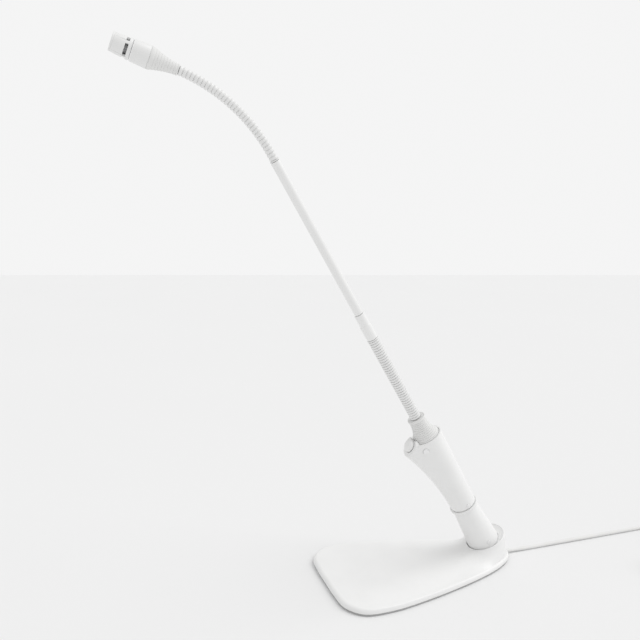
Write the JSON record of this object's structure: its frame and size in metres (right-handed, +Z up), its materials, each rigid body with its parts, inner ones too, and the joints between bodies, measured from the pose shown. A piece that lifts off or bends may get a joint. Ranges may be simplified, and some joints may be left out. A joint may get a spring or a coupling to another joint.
{
  "type": "gooseneck podium microphone",
  "caption": "Desk microphone on a flat tapered base: a leaning socket column with a release button, a straight tube between two ribbed flexible necks, and a small slotted head.",
  "frame": {"origin": "middle of the base plate's underside, on the desk", "axes": "+X from the column's foot towards the talker, +Y to the side, +Z up from the desk"},
  "size_m": [0.4938, 0.1219, 0.3853],
  "materials": {
    "white_paint": "satin white powder coat",
    "satin_metal": "fine satin white paint over ribbed or turned metal",
    "rubber": "matte pale moulded rubber",
    "foot_rubber": "matte grey non-slip rubber",
    "cord": "matte pale cable sheath",
    "steel": "pale plated steel",
    "brass": "bright turned brass",
    "insulator": "matte moulded plastic",
    "gauze": "dark fine wire gauze",
    "board": "circuit board laminate"
  },
  "bodies": {
    "base": {"base_casting": "white_paint", "stem_cone": "white_paint", "socket_shell": "white_paint", "cable_plug_shell": "satin_metal", "base_foot_pad": "foot_rubber", "cable_gland": "rubber", "cable_plug_boot": "rubber", "cable": "cord", "cable_tail": "cord", "cable_coil": "cord", "ballast_plate": "steel", "ballast_screw_left": "steel", "ballast_screw_right": "steel", "stem_grub_screw": "steel", "stem_stud": "steel", "stem_nut": "steel", "shell_lock_screw": "steel", "shell_side_screw": "steel", "latch_pivot_pin": "steel", "button_spring": "steel", "socket_contact_1": "brass", "socket_contact_2": "brass", "socket_contact_3": "brass", "cable_plug_pin_1": "brass", "cable_plug_pin_2": "brass", "cable_plug_pin_3": "brass", "socket_insert": "insulator", "cable_plug_insert": "insulator"},
    "neck_plug": {"plug_sleeve": "satin_metal", "plug_insert": "insulator", "plug_pin_1": "brass", "plug_pin_2": "brass", "plug_pin_3": "brass", "neck_boot": "rubber", "lower_neck_1": "satin_metal"},
    "lower_link_2": {"lower_neck_2": "satin_metal"},
    "lower_link_3": {"lower_neck_3": "satin_metal"},
    "arm": {"lower_neck_4": "satin_metal", "lower_neck_ring": "satin_metal", "tube_socket": "white_paint", "rigid_tube": "white_paint", "tube_ferrule": "satin_metal", "upper_neck_1": "satin_metal"},
    "upper_link_2": {"upper_neck_2": "satin_metal"},
    "upper_link_3": {"upper_neck_3": "satin_metal"},
    "upper_link_4": {"upper_neck_4": "satin_metal"},
    "upper_link_5": {"upper_neck_5": "satin_metal"},
    "head": {"upper_neck_6": "satin_metal", "head_boot": "rubber", "preamp_housing": "satin_metal", "preamp_board": "board", "seam_ring": "gauze", "capsule_mount": "rubber", "capsule": "steel", "capsule_cap": "satin_metal", "slot_gauze": "gauze", "front_gauze": "gauze"},
    "release_button": {"release_button": "white_paint"},
    "latch_lever": {"latch_lever": "steel"}
  },
  "joints": [
    {"name": "release_press", "type": "slide", "parent": "base", "child": "release_button", "axis": [-0.9063, 0, -0.4226], "range_m": [0, 0.0015], "stiffness_N_per_m": 400, "deforming": ["button_spring"]},
    {"name": "latch_turn", "type": "hinge", "parent": "base", "child": "latch_lever", "pos_m": [0.0044, 0, 0.09358], "axis": [0, -1, 0], "range_deg": [0, 16.5]},
    {"name": "plug_pull", "type": "slide", "parent": "base", "child": "neck_plug", "axis": [0.5, 0, 0.866], "range_m": [0, 0.016]},
    {"name": "lower_pitch_1", "type": "hinge", "parent": "neck_plug", "child": "lower_link_2", "pos_m": [0.01182, 0, 0.13409], "axis": [0, 1, 0], "range_deg": [-12, 15]},
    {"name": "lower_side", "type": "hinge", "parent": "lower_link_2", "child": "lower_link_3", "pos_m": [0.02365, 0, 0.15459], "axis": [0.866, 0, -0.5], "range_deg": [-20, 20]},
    {"name": "lower_pitch_2", "type": "hinge", "parent": "lower_link_3", "child": "arm", "pos_m": [0.03548, 0, 0.17508], "axis": [0, 1, 0], "range_deg": [-12, 15]},
    {"name": "upper_pitch_1", "type": "hinge", "parent": "arm", "child": "upper_link_2", "pos_m": [0.11836, 0, 0.31853], "axis": [0, 1, 0], "range_deg": [-18, 18]},
    {"name": "upper_side_1", "type": "hinge", "parent": "upper_link_2", "child": "upper_link_3", "pos_m": [0.12813, 0, 0.332], "axis": [0.7639, 0, -0.6453], "range_deg": [-26, 26]},
    {"name": "upper_pitch_2", "type": "hinge", "parent": "upper_link_3", "child": "upper_link_4", "pos_m": [0.13978, 0, 0.34389], "axis": [0, 1, 0], "range_deg": [-18, 18]},
    {"name": "upper_side_2", "type": "hinge", "parent": "upper_link_4", "child": "upper_link_5", "pos_m": [0.15306, 0, 0.35392], "axis": [0.5422, 0, -0.8402], "range_deg": [-26, 26]},
    {"name": "upper_pitch_3", "type": "hinge", "parent": "upper_link_5", "child": "head", "pos_m": [0.16767, 0, 0.36189], "axis": [0, 1, 0], "range_deg": [-18, 18]}
  ],
  "couplings": [
    {"joint": "latch_turn", "follows": "release_press", "rad_per_m": 192},
    {"joint": "lower_pitch_2", "follows": "lower_pitch_1", "ratio": 1},
    {"joint": "upper_pitch_2", "follows": "upper_pitch_1", "ratio": 1},
    {"joint": "upper_pitch_3", "follows": "upper_pitch_1", "ratio": 1},
    {"joint": "upper_side_2", "follows": "upper_side_1", "ratio": 1}
  ]
}
